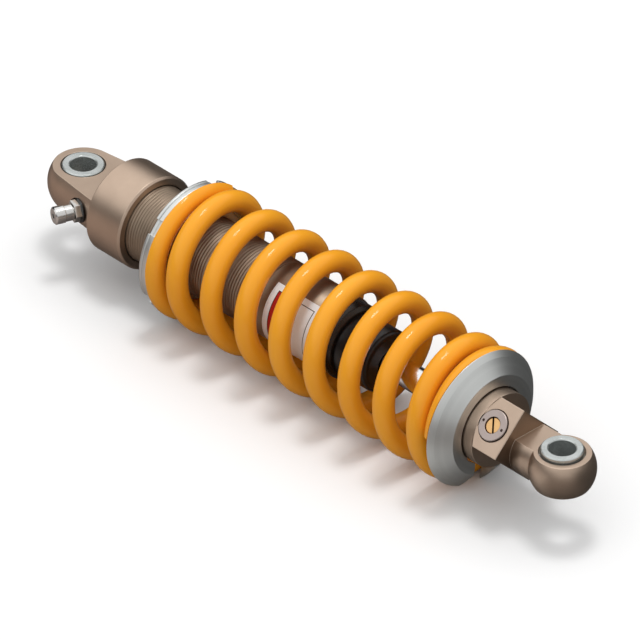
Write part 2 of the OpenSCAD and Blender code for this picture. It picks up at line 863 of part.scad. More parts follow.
// Three thin discs, each smaller than the one nearer the piston
module shims(face_x, way) {
    for (i = [0:2]) {
        near = face_x + way * (0.02 + i * (shim_t + 0.02));
        far = near + way * shim_t;
        ring_x(min(near, far), max(near, far), stud_r + running_fit, shim_r - shim_step * i);
    }
}

module compression_shims() {
    color(steel)
        shims(piston_x0, -1);
}

module rebound_shims() {
    color(steel)
        shims(piston_x, 1);
}

module piston_nut() {
    color(steel)
        translate([nut_x, 0, 0])
            rotate([0, 90, 0])
                difference() {
                    cylinder(h = piston_nut_h, r = 7.2, $fn = 6);
                    translate([0, 0, -1])
                        cylinder(h = piston_nut_h + 2, r = stud_r + running_fit);
                }
}

module piston_washer() {
    color(steel)
        ring_x(shoulder_x - seat_gap - washer_t, shoulder_x - seat_gap,
               stud_r + running_fit, shim_r);
}

module top_out_bumper() {
    color(black)
        bevelled_ring(shoulder_x + 0.6 * rod_r, bumper_end_x,
                      rod_r + running_fit, 1.75 * rod_r, 0.8);
}

// Moves a shape drawn on the Z axis onto the adjuster's axis
module at_adjuster() {
    translate([adjuster_x, 0, 0])
        rotate([45, 0, 0])
            children();
}

module rod_eye() {
    flare = block_corner_r - base_r;
    color(bronze)
    difference() {
        union() {
            turned([[base_x, 0], [base_x, base_r - 0.6], [base_x + 0.6, base_r],
                    [base_end_x, base_r], [base_end_x, 0]]);
            intersection() {
                union() {
                    bar_x(base_end_x - 1, block_end_x, base_r);
                    intersection() {
                        turned([[base_end_x - 1, 0], [base_end_x - 1, base_r],
                                [base_end_x, base_r], [base_end_x + flare, block_corner_r],
                                [block_end_x, block_corner_r], [block_end_x, 0]]);
                        rotate([45, 0, 0])
                            translate([base_end_x - 1, -block_corner_r, 0])
                                cube([block_len + 1, 2 * block_corner_r, block_corner_r]);
                    }
                }
                rotate([45, 0, 0])
                    translate([base_end_x - 1, -block_w / 2, -base_r])
                        cube([block_len + 1, block_w, base_r + block_flat]);
            }
            intersection() {
                bar_x(block_end_x - 1, eye_to_eye, neck_r);
                slab(block_end_x - 2, eye_to_eye + 1, lower_eye_w);
            }
            intersection() {
                translate([eye_to_eye + lower_eye_shift, 0, 0])
                    sphere(r = lower_eye_r);
                slab(eye_to_eye - lower_eye_r, eye_to_eye + lower_eye_r + 1, lower_eye_w);
            }
        }
        bar_x(base_x - 1, rod_socket_x, rod_r + running_fit);
        bar_x(rod_socket_x - 1, adjuster_x, needle_r + 0.4);
        at_adjuster() {
            translate([0, 0, adjuster_pocket_z])
                cylinder(h = 20, r = adjuster_pocket_r);
            translate([0, 0, adjuster_bottom])
                cylinder(h = adjuster_pocket_z - adjuster_bottom + 1, r = wedge_r + 2 * running_fit);
        }
        translate([eye_to_eye, 0, 0])
            bearing_hole(lower_flange_r + 0.3);
    }
}

module adjuster_ring() {
    color(bronze)
        at_adjuster()
            difference() {
                rotate_extrude()
                    polygon([[adjuster_head_r + 0.25, adjuster_step_z],
                             [adjuster_flange_r + 0.2, adjuster_step_z],
                             [adjuster_flange_r + 0.2, adjuster_pocket_z + seat_gap],
                             [adjuster_pocket_r - running_fit, adjuster_pocket_z + seat_gap],
                             [adjuster_pocket_r - running_fit, adjuster_step_z],
                             [adjuster_ring_r, adjuster_step_z + 0.4],
                             [adjuster_ring_r, adjuster_ring_top - 0.3],
                             [adjuster_ring_r - 0.3, adjuster_ring_top],
                             [adjuster_head_r + 0.25, adjuster_ring_top]]);
                for (side = [-1, 1])
                    translate([side * pin_hole_place, 0, adjuster_ring_top - 2])
                        cylinder(h = 3, r = pin_hole_r);
            }
}

module adjuster_screw() {
    flange_top = adjuster_step_z - seat_gap;
    flange_low = flange_top - adjuster_flange_t;
    color(brass)
        at_adjuster()
            difference() {
                rotate_extrude()
                    polygon([[0, adjuster_shank_end], [adjuster_shank_r, adjuster_shank_end],
                             [adjuster_shank_r, flange_low], [adjuster_flange_r, flange_low],
                             [adjuster_flange_r, flange_top], [adjuster_head_r, flange_top],
                             [adjuster_head_r, flange_top + 1],
                             [adjuster_head_r - 0.75, flange_top + 1],
                             [adjuster_head_r - 0.75, flange_top + 2.1],
                             [adjuster_head_r, flange_top + 2.1],
                             [adjuster_head_r, adjuster_head_top - 0.25],
                             [adjuster_head_r - 0.25, adjuster_head_top], [0, adjuster_head_top]]);
                rotate([0, 0, adjuster_slot_angle])
                    translate([-adjuster_screw_d, -adjuster_slot_w / 2,
                               adjuster_head_top - adjuster_slot_depth])
                        cube([2 * adjuster_screw_d, adjuster_slot_w, 3]);
            }
}

module adjuster_oring() {
    color(black)
        at_adjuster()
            translate([0, 0, adjuster_step_z - seat_gap + 1.55])
                rotate_extrude()
                    translate([adjuster_head_r - 0.25, 0])
                        circle(d = 0.9, $fn = 24);
}

module adjuster_wedge() {
    color(brass)
        at_adjuster()
            difference() {
                translate([0, 0, wedge_low])
                    cylinder(h = wedge_top - wedge_low, r = wedge_r);
                translate([0, 0, wedge_low - 1])
                    cylinder(h = wedge_top - wedge_low + 2, r = adjuster_shank_r + running_fit);
                translate([-wedge_face, 0, 0])
                    rotate([0, wedge_angle, 0])
                        translate([-10, -10, -15])
                            cube([10, 20, 30]);
            }
}

module metering_needle() {
    groove = 0.55;
    color(steel)
    difference() {
        union() {
            turned([[needle_x, 0], [needle_x, 0.6], [needle_x + 4, needle_r],
                    [needle_end_x, needle_r], [needle_end_x, 0]]);
            translate([needle_end_x, 0, 0])
                sphere(r = needle_r);
        }
        ring_x(needle_oring_x - groove, needle_oring_x + groove, needle_r - 0.8, needle_r + 1);
    }
}

module needle_oring() {
    color(black)
        oring_x(needle_oring_x, rod_bore / 2 - 0.45, 0.86);
}

module upper_race() {
    color(steel)
        bearing_race();
}

module upper_circlip() {
    color(steel)
        bearing_circlip(upper_flange_r);
}

module upper_ball() {
    color(silver)
        bearing_ball();
}

module upper_sleeve_top() {
    color(silver)
        bearing_sleeve(upper_sleeve_len, upper_flange_r);
}

module upper_sleeve_bottom() {
    color(silver)
        mirror([0, 0, 1])
            bearing_sleeve(upper_sleeve_len, upper_flange_r);
}

module lower_race() {
    color(steel)
        translate([eye_to_eye, 0, 0])
            bearing_race();
}

module lower_circlip() {
    color(steel)
        translate([eye_to_eye, 0, 0])
            rotate([0, 0, 180])
                bearing_circlip(lower_flange_r + 0.3);
}

module lower_ball() {
    color(silver)
        translate([eye_to_eye, 0, 0])
            bearing_ball();
}

module lower_sleeve_top() {
    color(silver)
        translate([eye_to_eye, 0, 0])
            bearing_sleeve(lower_sleeve_len, lower_flange_r);
}

module lower_sleeve_bottom() {
    color(silver)
        translate([eye_to_eye, 0, 0])
            mirror([0, 0, 1])
                bearing_sleeve(lower_sleeve_len, lower_flange_r);
}

cylinder_head();
head_oring();
body_tube();
body_label();
gas_valve_body();
gas_valve_seal();
gas_valve_core();
gas_valve_cap();
separator_piston();
separator_oring();
separator_band();
seal_head();
seal_head_oring();
rod_bushing();
rod_seal();
seal_clip();
rod_wiper();
bump_stop();
lock_ring();
preload_nut();
thrust_washer();
coil_spring();
spring_seat();
piston_rod();
main_piston();
piston_band();
compression_shims();
rebound_shims();
piston_nut();
piston_washer();
top_out_bumper();
rod_eye();
adjuster_ring();
adjuster_screw();
adjuster_oring();
adjuster_wedge();
metering_needle();
needle_oring();
upper_race();
upper_circlip();
upper_ball();
upper_sleeve_top();
upper_sleeve_bottom();
lower_race();
lower_circlip();
lower_ball();
lower_sleeve_top();
lower_sleeve_bottom();
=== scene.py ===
# %% [markdown]
# # Rear shock absorber of a pit bike
# The damper runs along X, from the upper eye at the origin to the lower eye at x = 0.3 m, and both bolts
# run along Z. The solids come from the construction model, and this notebook gives them their looks.
# Three pieces are made anew, because their form is finer than the solids': the wire of the spring, the
# screw thread of the damper tube and the label's film.

import json
import math

import bpy
import numpy as np
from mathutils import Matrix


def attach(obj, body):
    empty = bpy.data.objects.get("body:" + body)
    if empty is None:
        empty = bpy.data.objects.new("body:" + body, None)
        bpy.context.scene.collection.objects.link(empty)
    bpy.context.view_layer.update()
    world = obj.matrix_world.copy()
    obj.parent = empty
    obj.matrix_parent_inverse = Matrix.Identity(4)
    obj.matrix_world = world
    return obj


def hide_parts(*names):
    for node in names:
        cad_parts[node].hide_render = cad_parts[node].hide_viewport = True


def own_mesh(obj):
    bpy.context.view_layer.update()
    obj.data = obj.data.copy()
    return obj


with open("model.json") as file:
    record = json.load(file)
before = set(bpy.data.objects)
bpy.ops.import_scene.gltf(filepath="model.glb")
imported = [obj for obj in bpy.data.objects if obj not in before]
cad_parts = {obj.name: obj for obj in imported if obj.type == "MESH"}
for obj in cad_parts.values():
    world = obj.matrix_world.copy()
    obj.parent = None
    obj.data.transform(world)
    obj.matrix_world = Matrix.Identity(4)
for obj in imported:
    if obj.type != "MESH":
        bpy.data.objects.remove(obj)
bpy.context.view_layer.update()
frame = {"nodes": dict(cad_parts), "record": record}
nodes = frame["nodes"]

# %% [markdown]
# ## Camera and floor
# The photograph was taken from far away with a long lens, so the parallel edges hardly converge. The
# angles, the roll and the distance were worked out from the eyes, the spring's turns and the rings. The
# lens could be set by eye, but a measured camera lets every later difference be blamed on the model.

# %% Camera at the photograph's angle
azimuth, elevation, roll = np.radians([45.739, 34.801, 0.555])
distance = 4.27234
focal_px = 9812.917
image_px = 640
off_centre_px = (2.393, 0.579)

right = np.array([math.cos(azimuth), math.sin(azimuth), 0.0])
back = np.array(
    [
        math.cos(elevation) * math.sin(azimuth),
        -math.cos(elevation) * math.cos(azimuth),
        math.sin(elevation),
    ]
)
up = np.cross(back, right)
camera_x = math.cos(roll) * right + math.sin(roll) * up
camera_y = math.cos(roll) * up - math.sin(roll) * right
middle = np.array([0.15, 0.0, 0.0])

lens = bpy.data.cameras.new("camera")
lens.sensor_width = 36.0
lens.lens = focal_px * lens.sensor_width / image_px
lens.shift_x = off_centre_px[0] / image_px
lens.shift_y = off_centre_px[1] / image_px
camera = bpy.data.objects.new("camera", lens)
bpy.context.scene.collection.objects.link(camera)
pose = np.eye(4)
pose[:3, 0], pose[:3, 1], pose[:3, 2] = camera_x, camera_y, back
pose[:3, 3] = middle + distance * back
camera.matrix_world = pose.T.tolist()
bpy.context.scene.camera = camera
print("camera at", np.round(pose[:3, 3], 3), "with a lens of", round(lens.lens, 1), "mm")

# %% [markdown]
# ## Surfaces from grids
# Each new piece is a grid of points, worked out all at once. One direction of the grid runs around the
# section and always closes. The other runs along the piece, and either closes too, as on a tube's wall
# that is turned about an axis, or ends in two caps.

# %% Turn a grid of points into a mesh


def skin(name, grid, closed=False, sharp=35):
    """Joins neighbouring points of grid[along, around] into four-sided faces.

    An open grid gets a cap at each end: one more row, with all its points at the middle of the end row.
    """
    if not closed:
        middles = grid[[0, -1]].mean(axis=1, keepdims=True)
        caps = np.broadcast_to(middles, (2,) + grid.shape[1:])
        grid = np.concatenate([caps[:1], grid, caps[1:]])
    rows, columns = grid.shape[:2]
    row = np.arange(rows if closed else rows - 1)[:, None]
    column = np.arange(columns)[None, :]
    next_row, next_column = (row + 1) % rows, (column + 1) % columns
    corners = [
        row * columns + column,
        row * columns + next_column,
        next_row * columns + next_column,
        next_row * columns + column,
    ]
    faces = np.stack(corners, axis=-1).reshape(-1, 4)
    mesh = bpy.data.meshes.new(name)
    mesh.from_pydata(grid.reshape(-1, 3).tolist(), [], faces.tolist())
    clean(mesh)
    mesh.shade_smooth()
    mesh.set_sharp_from_angle(angle=math.radians(sharp))
    piece = bpy.data.objects.new(name, mesh)
    bpy.context.scene.collection.objects.link(piece)
    print(name, len(mesh.polygons), "faces")
    return piece


def clean(mesh, same_place=1e-7, no_length=1e-8):
    """Merges points that share a place, drops faces without area, and turns all faces outwards."""
    import bmesh

    work = bmesh.new()
    work.from_mesh(mesh)
    bmesh.ops.remove_doubles(work, verts=work.verts, dist=same_place)
    bmesh.ops.dissolve_degenerate(work, edges=work.edges, dist=no_length)
    bmesh.ops.recalc_face_normals(work, faces=work.faces)
    work.to_mesh(mesh)
    work.free()


# %% [markdown]
# ## The coil spring
# A compression spring is wound from straight wire. Its two end turns lie close to their neighbours and
# are ground flat, so that the spring stands square. A screw modifier could wind a circle, but it can't
# close the end turns or grind them. Here the wire's centre follows a formula in the number of turns, and
# the ground faces come from holding each section's points between the two end planes.

# %% Wind the wire
wire_radius = 0.005
coil_radius = 0.0275
coil_turns = 9.34
first_tip = math.radians(50)
spring_start, spring_end = 0.0744, 0.25025
first_lift, last_lift = -0.0024, -0.0007
coil_gap = 0.0004
end_rise = 2 * wire_radius + coil_gap
pitch_blend = 0.5
coil_span = spring_end - spring_start - first_lift - last_lift
coil_pitch = (coil_span - 2 * end_rise) / (coil_turns - 2)


def wire_rise(turn):
    """How far the wire's centre has climbed: a close end turn, even turns, a close end turn.

    rise = end rise * turn + (pitch - end rise) * turns past the first, counted from the nearer tip.
    """
    near = np.minimum(turn, coil_turns - turn)
    ahead = np.maximum(near - 1 + pitch_blend / 2, 0)
    past = np.where(ahead > pitch_blend, near - 1, ahead**2 / (2 * pitch_blend))
    rise = end_rise * near + (coil_pitch - end_rise) * past
    return np.where(turn > coil_turns / 2, coil_span - rise, rise)


def wound_wire(rings_per_turn=64, sides=28):
    """Circles of the wire's radius, with their centres on the coil's radius, cut by the two end planes.

    x = start + lift + rise + wire radius * sin(side)
    distance from the axis = coil radius + wire radius * cos(side)
    A point beyond a plane moves onto it, within the width that the cut wire has there.
    """
    turn = np.linspace(0, coil_turns, int(coil_turns * rings_per_turn))[:, None]
    side = np.linspace(0, 2 * np.pi, sides, endpoint=False)[None, :]
    angle = first_tip + 2 * np.pi * turn
    centre = spring_start + first_lift + wire_rise(turn)
    depth = np.minimum(centre - spring_start, spring_end - centre)
    half_width = np.sqrt(np.abs(wire_radius**2 - depth**2))
    cut_width = np.where(np.abs(depth) < wire_radius, half_width, wire_radius)
    x = centre + wire_radius * np.sin(side)
    cut = (x < spring_start) | (x > spring_end)
    out = wire_radius * np.cos(side)
    out = np.where(cut, np.clip(out, -cut_width, cut_width), out)
    x = np.clip(x, spring_start, spring_end)
    reach = coil_radius + out
    return np.stack([x, reach * np.cos(angle), reach * np.sin(angle)], axis=-1)


spring = skin("spring_wire", wound_wire())
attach(spring, "lower_seat")
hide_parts("coil_spring")
print("pitch of the spring", round(coil_pitch * 1000, 2), "mm")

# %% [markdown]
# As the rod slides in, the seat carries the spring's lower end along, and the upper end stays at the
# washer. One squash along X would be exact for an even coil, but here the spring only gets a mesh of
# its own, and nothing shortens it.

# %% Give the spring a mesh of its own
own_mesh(spring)

# %% [markdown]
# ## The threaded damper tube
# The preload rings climb a fine screw thread that is cut along two thirds of the tube. A bump map could
# fake it, but its crests show on the tube's outline, so the thread is cut into the surface. The depth of
# the cut at a point depends on how far x has run ahead of the angle, which makes one helix.

# %% Cut the thread
tube_radius, tube_bore = 0.0183, 0.015
tube_start, tube_end = 0.0331, 0.1655
thread_start, thread_end = 0.0475, 0.1295
thread_pitch, thread_depth = 0.0015, 0.00045
thread_steepness = 1.35
end_bevel = 0.0006


def threaded_tube(columns=112, steps_per_pitch=8):
    """Turns the tube's closed outline about X and takes the thread's cut off the outer wall.

    cut = depth * triangle wave of (x / pitch - angle / full turn), faded in and out over one pitch.
    The wave is made steeper and held at 1, which leaves the thread a flat root.
    """
    count = int((thread_end - thread_start) / thread_pitch * steps_per_pitch)
    thread_x = np.linspace(thread_start, thread_end, count)
    x = np.concatenate(
        [[tube_start], thread_x, [tube_end - end_bevel, tube_end, tube_end, tube_start]]
    )
    radius = np.full(x.size, tube_radius)
    radius[-3] = tube_radius - end_bevel
    radius[-2:] = tube_bore
    angle = np.linspace(0, 2 * np.pi, columns, endpoint=False)[:, None]
    phase = (x / thread_pitch - angle / (2 * np.pi)) % 1
    ends = np.minimum(x - thread_start, thread_end - x) / thread_pitch
    wave = np.clip(thread_steepness * (1 - np.abs(2 * phase - 1)), 0, 1)
    reach = radius - thread_depth * wave * np.clip(ends, 0, 1)
    x = np.broadcast_to(x, reach.shape)
    return np.stack([x, reach * np.cos(angle), reach * np.sin(angle)], axis=-1)


tube = skin("threaded_tube", threaded_tube(), closed=True, sharp=60)
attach(tube, "damper_body")
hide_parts("body_tube")
print("thread of", round((thread_end - thread_start) / thread_pitch, 1), "turns")

# %% [markdown]
# ## The label
# A printed film is wrapped around the smooth part of the tube, with a white field, a thin black frame
# and a red block. It could be only a patch of colour on the tube, but a film has an edge that catches
# light, so it is a thin shell. A UV map in millimetres along and around the tube carries the print.

# %% Wrap the film
label_start, label_length = 0.1342, 0.0285
label_top, label_arc = math.radians(117), math.radians(135)
film_bottom, film_top = 0.01833, 0.01846


def wrapped_film(steps=72):
    """A thin four-cornered section, swept around the tube from the label's upper edge."""
    x = label_start + label_length * np.array([0.0, 1.0, 1.0, 0.0])
    reach = np.array([film_top, film_top, film_bottom, film_bottom])
    angle = (label_top + label_arc * np.linspace(0, 1, steps))[:, None]
    x = np.broadcast_to(x, (steps, 4))
    return np.stack([x, reach * np.cos(angle), reach * np.sin(angle)], axis=-1)


film = skin("label_film", wrapped_film())
places = np.empty(len(film.data.vertices) * 3)
film.data.vertices.foreach_get("co", places)
places = places.reshape(-1, 3)
around = np.arctan2(places[:, 2], places[:, 1]) % (2 * np.pi) - label_top
print_map = np.stack([places[:, 0] - label_start, around * film_top], axis=-1) * 1000
corner_points = np.empty(len(film.data.loops), dtype=np.int32)
film.data.loops.foreach_get("vertex_index", corner_points)
layer = film.data.uv_layers.new(name="millimetres")
layer.data.foreach_set("uv", print_map[corner_points].ravel())
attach(film, "damper_body")
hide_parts("body_label")

# %% [markdown]
# ## Effects that several finishes share
# Three effects come back in most of the materials, so each is a node group, made once. First come the
# helpers. Nodes could be joined by hand in the editor, but a few lines of code show every value at once.

# %% Helpers for node groups and materials
smooth = {"interpolation_type": "SMOOTHSTEP"}


def new_group(name, inputs, outputs):
    """An empty node group with named inputs and outputs."""
    group = bpy.data.node_groups.new(name, "ShaderNodeTree")
    for label, kind, value in inputs:
        socket = group.interface.new_socket(name=label, in_out="INPUT", socket_type=kind)
        socket.default_value = value
    for label, kind in outputs:
        group.interface.new_socket(name=label, in_out="OUTPUT", socket_type=kind)
    return group, Tree(group)


class Tree:
    """Adds nodes to a tree in one line each. A value that is a socket is linked, another is set."""

    def __init__(self, tree):
        self.tree = tree

    def add(self, kind, settings=None, **sockets):
        """A new node. An input is named by its label, or by its number after an underscore."""
        node = self.tree.nodes.new("ShaderNode" + kind)
        for key, value in (settings or {}).items():
            setattr(node, key, value)
        for key, value in sockets.items():
            self.feed(node, key, value)
        return node

    def feed(self, node, key, value):
        """Links a socket to an input of the node, or sets the input to a value."""
        number = key[1:]
        socket = node.inputs[int(number) if number.isdigit() else key.replace("_", " ")]
        if isinstance(value, bpy.types.NodeSocket):
            self.tree.links.new(value, socket)
        else:
            socket.default_value = value

    def math(self, operation, a, b=0.0, clamp=False):
        """One sum of two numbers, with the result held between 0 and 1 if clamp is set."""
        node = self.add("Math", {"operation": operation, "use_clamp": clamp}, _0=a, _1=b)
        return node.outputs[0]

    def blend(self, amount, a, b):
        """The colour a where amount is 0 and b where it is 1."""
        node = self.add("Mix", {"data_type": "RGBA"}, _0=amount, _6=a, _7=b)
        return node.outputs[2]

    def ramp(self, value, start, stop, settings=None):
        """A number that runs from 0 to 1 as the value runs from start to stop."""
        return self.add("MapRange", settings, Value=value, _1=start, _2=stop).outputs[0]

    def place(self, source="Object"):
        """The three parts of a texture coordinate."""
        return self.add("SeparateXYZ", _0=self.add("TexCoord").outputs[source]).outputs

    def group_ends(self):
        """The sockets that come into a group, and those that go out of it."""
        ends = self.tree.nodes.new("NodeGroupInput"), self.tree.nodes.new("NodeGroupOutput")
        return ends[0].outputs, ends[1].inputs


print("node helpers ready")

# %% [markdown]
# Machined edges are never quite sharp, and handling polishes them first. A bevel modifier could round
# them, but it would change the solids. The Bevel node bends only the normals near an edge, and how far it
# bends them tells where the edge is. There the colour turns lighter, partly as rubbed metal and partly as
# a painted highlight where the edges catch the light. Noise makes that light line uneven.

# %% Group 1: rounded edges
patch_scale, patch_share = 260.0, 0.45
edge_group, t = new_group(
    "rounded_edges",
    [("Radius", "NodeSocketFloat", 0.0003), ("Wear", "NodeSocketFloat", 1.0)],
    [("Normal", "NodeSocketVector"), ("Edge", "NodeSocketFloat")],
)
into, out = t.group_ends()
bevel = t.add("Bevel", {"samples": 6}, Radius=into["Radius"])
flat = t.add("NewGeometry").outputs["Normal"]
turned_away = t.add("VectorMath", {"operation": "DOT_PRODUCT"}, _0=bevel.outputs[0], _1=flat)
patches = t.add("TexNoise", Vector=t.add("TexCoord").outputs["Object"], Scale=patch_scale, Detail=3.0)
edge = t.math("SUBTRACT", 1.0, turned_away.outputs["Value"])
edge = t.math("MULTIPLY", edge, into["Wear"])
edge = t.math("MULTIPLY", edge, t.math("ADD", patches.outputs[0], patch_share), clamp=True)
t.tree.links.new(bevel.outputs[0], out["Normal"])
t.tree.links.new(edge, out["Edge"])
print("group", edge_group.name)

# %% [markdown]
# A lathe leaves rings of fine grooves about the damper's axis. A ring pattern could be drawn on a UV map,
# but the solids have none. Noise over x and the distance from the axis stays the same all around, so it
# gives such rings on cylinders and on faces alike.

# %% Group 2: the fine grooves of a lathe
band_scale = 0.07
lathe_group, t = new_group(
    "lathe_grooves",
    [("Spacing", "NodeSocketFloat", 0.0002), ("Stray", "NodeSocketFloat", 1.0)],
    [("Height", "NodeSocketFloat"), ("Shade", "NodeSocketFloat")],
)
into, out = t.group_ends()
place = t.place()
from_axis = t.math("POWER", place["Y"], 2.0)
from_axis = t.math("ADD", from_axis, t.math("POWER", place["Z"], 2.0))
from_axis = t.math("SQRT", from_axis)
along = t.math("DIVIDE", place["X"], into["Spacing"])
outward = t.math("DIVIDE", from_axis, into["Spacing"])
lane = t.add("CombineXYZ", X=along, Y=outward).outputs[0]
grooves = t.add("TexNoise", Vector=lane, Scale=1.0, Detail=2.0)
bands = t.add("TexNoise", Vector=lane, Scale=band_scale, Detail=3.0)
t.tree.links.new(grooves.outputs[0], out["Height"])
t.tree.links.new(t.math("MULTIPLY", bands.outputs[0], into["Stray"]), out["Shade"])
print("group", lathe_group.name)

# %% [markdown]
# Blasted, plated and moulded surfaces have a fine grain, and their shade drifts in soft clouds. One noise
# could do both, but then the clouds would look like enlarged grain, so there are two, fifty times apart.

# %% Group 3: an even grain
cloud_share = 0.02
grain_group, t = new_group(
    "even_grain",
    [("Size", "NodeSocketFloat", 0.0003)],
    [("Height", "NodeSocketFloat"), ("Cloud", "NodeSocketFloat")],
)
into, out = t.group_ends()
place = t.add("TexCoord").outputs["Object"]
fine = t.add("TexNoise", Vector=place, Scale=t.math("DIVIDE", 1.0, into["Size"]), Detail=2.0)
cloud = t.add("TexNoise", Vector=place, Scale=t.math("DIVIDE", cloud_share, into["Size"]), Detail=4.0)
t.tree.links.new(fine.outputs[0], out["Height"])
t.tree.links.new(cloud.outputs[0], out["Cloud"])
print("group", grain_group.name)

# %% [markdown]
# ## Finishes
# A finish is a Principled BSDF with constants of its own, and the groups above feed what changes over
# the surface. The colours are mixed in linear light. Most finishes differ only in numbers, so one
# function builds them, and the others start from the same helpers.

# %% Helpers for finishes
finishes = {}


def finish(name, **constants):
    """A new material and the tree of its nodes. The constants go straight onto the shader's sockets."""
    material = bpy.data.materials.new(name)
    material.use_nodes = True
    tree = Tree(material.node_tree)
    shader = material.node_tree.nodes["Principled BSDF"]
    for key, value in constants.items():
        tree.feed(shader, key, value)
    return material, tree, shader


def use(tree, group, **sockets):
    """Places a node group in a material with its own values."""
    node = tree.add("Group", {"node_tree": group})
    for key, value in sockets.items():
        tree.feed(node, key, value)
    return node.outputs


def spread(tree, value, low, high):
    """Stretches a noise value, mostly 0.3 to 0.7, over the span from low to high."""
    return tree.add("MapRange", Value=value, _1=0.3, _2=0.7, _3=low, _4=high).outputs[0]


def shades(tree, value, dark, light):
    """A colour that drifts between two shades with a noise value."""
    return tree.blend(spread(tree, value, 0.0, 1.0), dark + (1,), light + (1,))


def relief(tree, shader, height, strength, distance, **normal):
    """Raises a height over the surface, or over rounded edges if their normal is given."""
    bump = tree.add("Bump", Strength=strength, Distance=distance, Height=height, **normal)
    tree.feed(shader, "Normal", bump.outputs[0])


def grained(slot, name, dark, light, roughness, size, radius, wear=0.6, edge=None, bump=None, **constants):
    """A finish with two shades in soft clouds, grain in its roughness and rounded edges.

    Where there is an edge colour, it marks the edges as rubbed metal and as a painted highlight. The bump
    is the grain's strength and distance.
    """
    material, tree, shader = finish(name, **constants)
    edges = use(tree, edge_group, Radius=radius, Wear=wear)
    grain = use(tree, grain_group, Size=size)
    colour = shades(tree, grain["Cloud"], dark, light)
    if edge:
        colour = tree.blend(edges["Edge"], colour, edge + (1,))
    tree.feed(shader, "Base_Color", colour)
    tree.feed(shader, "Roughness", spread(tree, grain["Height"], *roughness))
    tree.feed(shader, "Normal", edges["Normal"])
    if bump:
        relief(tree, shader, grain["Height"], *bump, Normal=edges["Normal"])
    finishes[slot] = material
    print("finish", name)
    return tree, shader, colour, edges["Edge"]


# %% [markdown]
# The head and the lower eye are blasted and brown anodised. The oxide is clear and dyed, so the metal
# below still shines, and a brown metal is nearer to it than a brown paint. A painted shade darkens the
# turned neck between the milled block and the eye, but not a face that looks straight up. A painted map
# could hold that patch, but x and the way that the surface faces say the same in a few nodes.

# %% Brown anodised aluminium
neck_starts, neck_ends = (0.2795, 0.2806), (0.2832, 0.2872)
level_from, neck_shade_strength = 0.97, 0.62
t, shader, colour, edge_wear_and_highlight = grained(
    "bronze_anodised", "brown_anodised", (0.53, 0.402, 0.310), (0.59, 0.452, 0.350), (0.32, 0.40),
    size=0.00022, radius=0.00035, wear=3.0, bump=(0.12, 0.00008), Metallic=1.0,
)
along = t.place()["X"]
facing = t.add("SeparateXYZ", _0=t.add("NewGeometry").outputs["Normal"]).outputs["Z"]
level = t.math("GREATER_THAN", facing, level_from)
past_block = t.ramp(along, *neck_starts, smooth)
before_eye = t.math("SUBTRACT", 1.0, t.ramp(along, *neck_ends, smooth))
neck = t.math("MULTIPLY", past_block, before_eye)
shade_on_round_side = t.math("SUBTRACT", neck_shade_strength, t.math("MULTIPLY", level, neck_shade_strength))
# Painted shade: the neck's round sides turn dark brown, and its level faces stay as they are.
colour = t.blend(t.math("MULTIPLY", neck, shade_on_round_side), colour, (0.10, 0.066, 0.042, 1))
# Rubbed metal and a painted highlight: the edges turn light cream.
t.feed(shader, "Base_Color", t.blend(edge_wear_and_highlight, colour, (0.80, 0.69, 0.57, 1)))
print("neck shaded from x =", neck_starts[0], "to", neck_ends[1])

# %% [markdown]
# The tube has the same brown, painted darker as shade from the coils around it and in its thread, and it
# is duller. The ring around the adjuster is clear anodised. The sleeves, the clips and the other steel
# pieces are zinc plated. All three are the same kind of surface with other numbers.

# %% Brown with painted shade, clear anodised and zinc plated
grained(
    "tube_anodised", "brown_anodised_painted_shade", (0.295, 0.227, 0.168), (0.345, 0.267, 0.200), (0.42, 0.52),
    size=0.0002, radius=0.00008, wear=1.5, edge=(0.56, 0.46, 0.36), Metallic=1.0,
)
grained(
    "clear_anodised", "clear_anodised", (0.44, 0.37, 0.345), (0.50, 0.42, 0.39), (0.34, 0.44),
    size=0.0002, radius=0.0002, wear=1.0, edge=(0.75, 0.70, 0.67), Metallic=1.0,
)
grained(
    "plated_steel", "zinc_plate", (0.50, 0.53, 0.515), (0.64, 0.67, 0.66), (0.2, 0.3),
    size=0.00015, radius=0.00018, wear=0.8, edge=(0.9, 0.92, 0.92), bump=(0.1, 0.00004), Metallic=0.8,
)

# %% [markdown]
# The black parts are the anodised seal head, the rubber rings and the bump stop. The rod's seal is
# polyurethane, and the guide bands are a filled plastic. None of them shows rubbed metal at its edges,
# so they get no edge colour.

# %% Black anodised, rubber, polyurethane and guide bands
soft_bump = (0.2, 0.00006)
grained(
    "black_anodised", "black_anodised", (0.022, 0.017, 0.013), (0.034, 0.027, 0.021), (0.24, 0.32),
    size=0.0003, radius=0.0004, bump=soft_bump, Metallic=0.5,
)
grained(
    "black_rubber", "black_rubber", (0.004, 0.003, 0.003), (0.008, 0.006, 0.005), (0.30, 0.40),
    size=0.0004, radius=0.0004, bump=soft_bump, Metallic=0.0,
)
grained(
    "seal_polyurethane", "seal_polyurethane", (0.012, 0.04, 0.08), (0.02, 0.055, 0.1), (0.35, 0.45),
    size=0.0004, radius=0.0002, bump=soft_bump, Metallic=0.0,
)
grained(
    "guide_band", "guide_band", (0.03, 0.08, 0.05), (0.045, 0.1, 0.065), (0.5, 0.6),
    size=0.0003, radius=0.0001, bump=soft_bump, Metallic=0.0,
)

# %% [markdown]
# The adjuster is a brass screw, and its slot, a recess, gets a painted shade. The screw stands at 45
# degrees between -Y and +Z, so the height along its axis is (z - y) / sqrt(2). All brass below that
# height gets the dark painted shade. The rest of it lies inside the damper, so in view it is only the
# slot.

